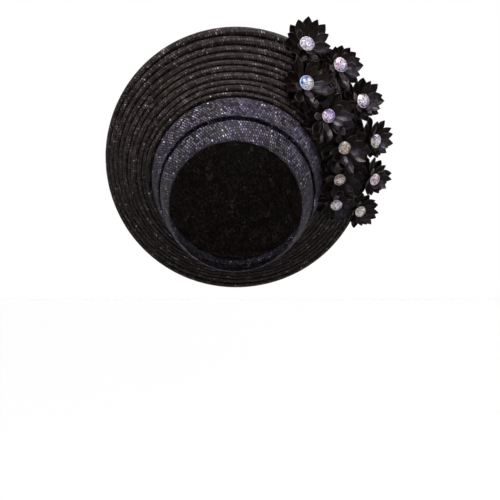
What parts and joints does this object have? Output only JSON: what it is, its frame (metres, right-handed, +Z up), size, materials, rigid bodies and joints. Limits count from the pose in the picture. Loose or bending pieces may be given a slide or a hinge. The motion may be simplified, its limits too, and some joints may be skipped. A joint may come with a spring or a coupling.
{
  "type": "pleated turban head wrap",
  "caption": "Stiff black pleated head wrap with two smooth front bands, a round ribbed fan behind them and a cluster of satin ribbon flowers with faceted stones on one side.",
  "frame": {"origin": "top of the head hollow, where the inside of the crown rests on the top of the head", "axes": "+Z up, -Y to the front of the wearer, +X to the side with the flowers (the wearer's left)"},
  "size_m": [0.2917, 0.1738, 0.2699],
  "materials": {
    "wrap_cloth": "stiff near-black woven cloth with fine glittering threads, pleated",
    "band_cloth": "the same cloth laid smooth, cooler black with glittering diagonal ticks",
    "ribbon_satin": "deep black satin ribbon with a soft sheen",
    "stone_glass": "foil-backed faceted glass with a pale iridescent coating"
  },
  "bodies": {
    "root": {"crown_cap": "wrap_cloth", "front_band_lower": "band_cloth", "front_band_upper": "band_cloth", "pleated_fan": "wrap_cloth", "flower_01": "ribbon_satin", "flower_02": "ribbon_satin", "flower_03": "ribbon_satin", "flower_04": "ribbon_satin", "flower_05": "ribbon_satin", "flower_06": "ribbon_satin", "flower_07": "ribbon_satin", "flower_08": "ribbon_satin", "flower_09": "ribbon_satin", "flower_10": "ribbon_satin", "flower_11": "ribbon_satin", "stone_01": "stone_glass", "stone_02": "stone_glass", "stone_03": "stone_glass", "stone_04": "stone_glass", "stone_05": "stone_glass", "stone_06": "stone_glass", "stone_07": "stone_glass", "stone_08": "stone_glass", "stone_09": "stone_glass", "stone_10": "stone_glass", "stone_11": "stone_glass"}
  },
  "joints": []
}
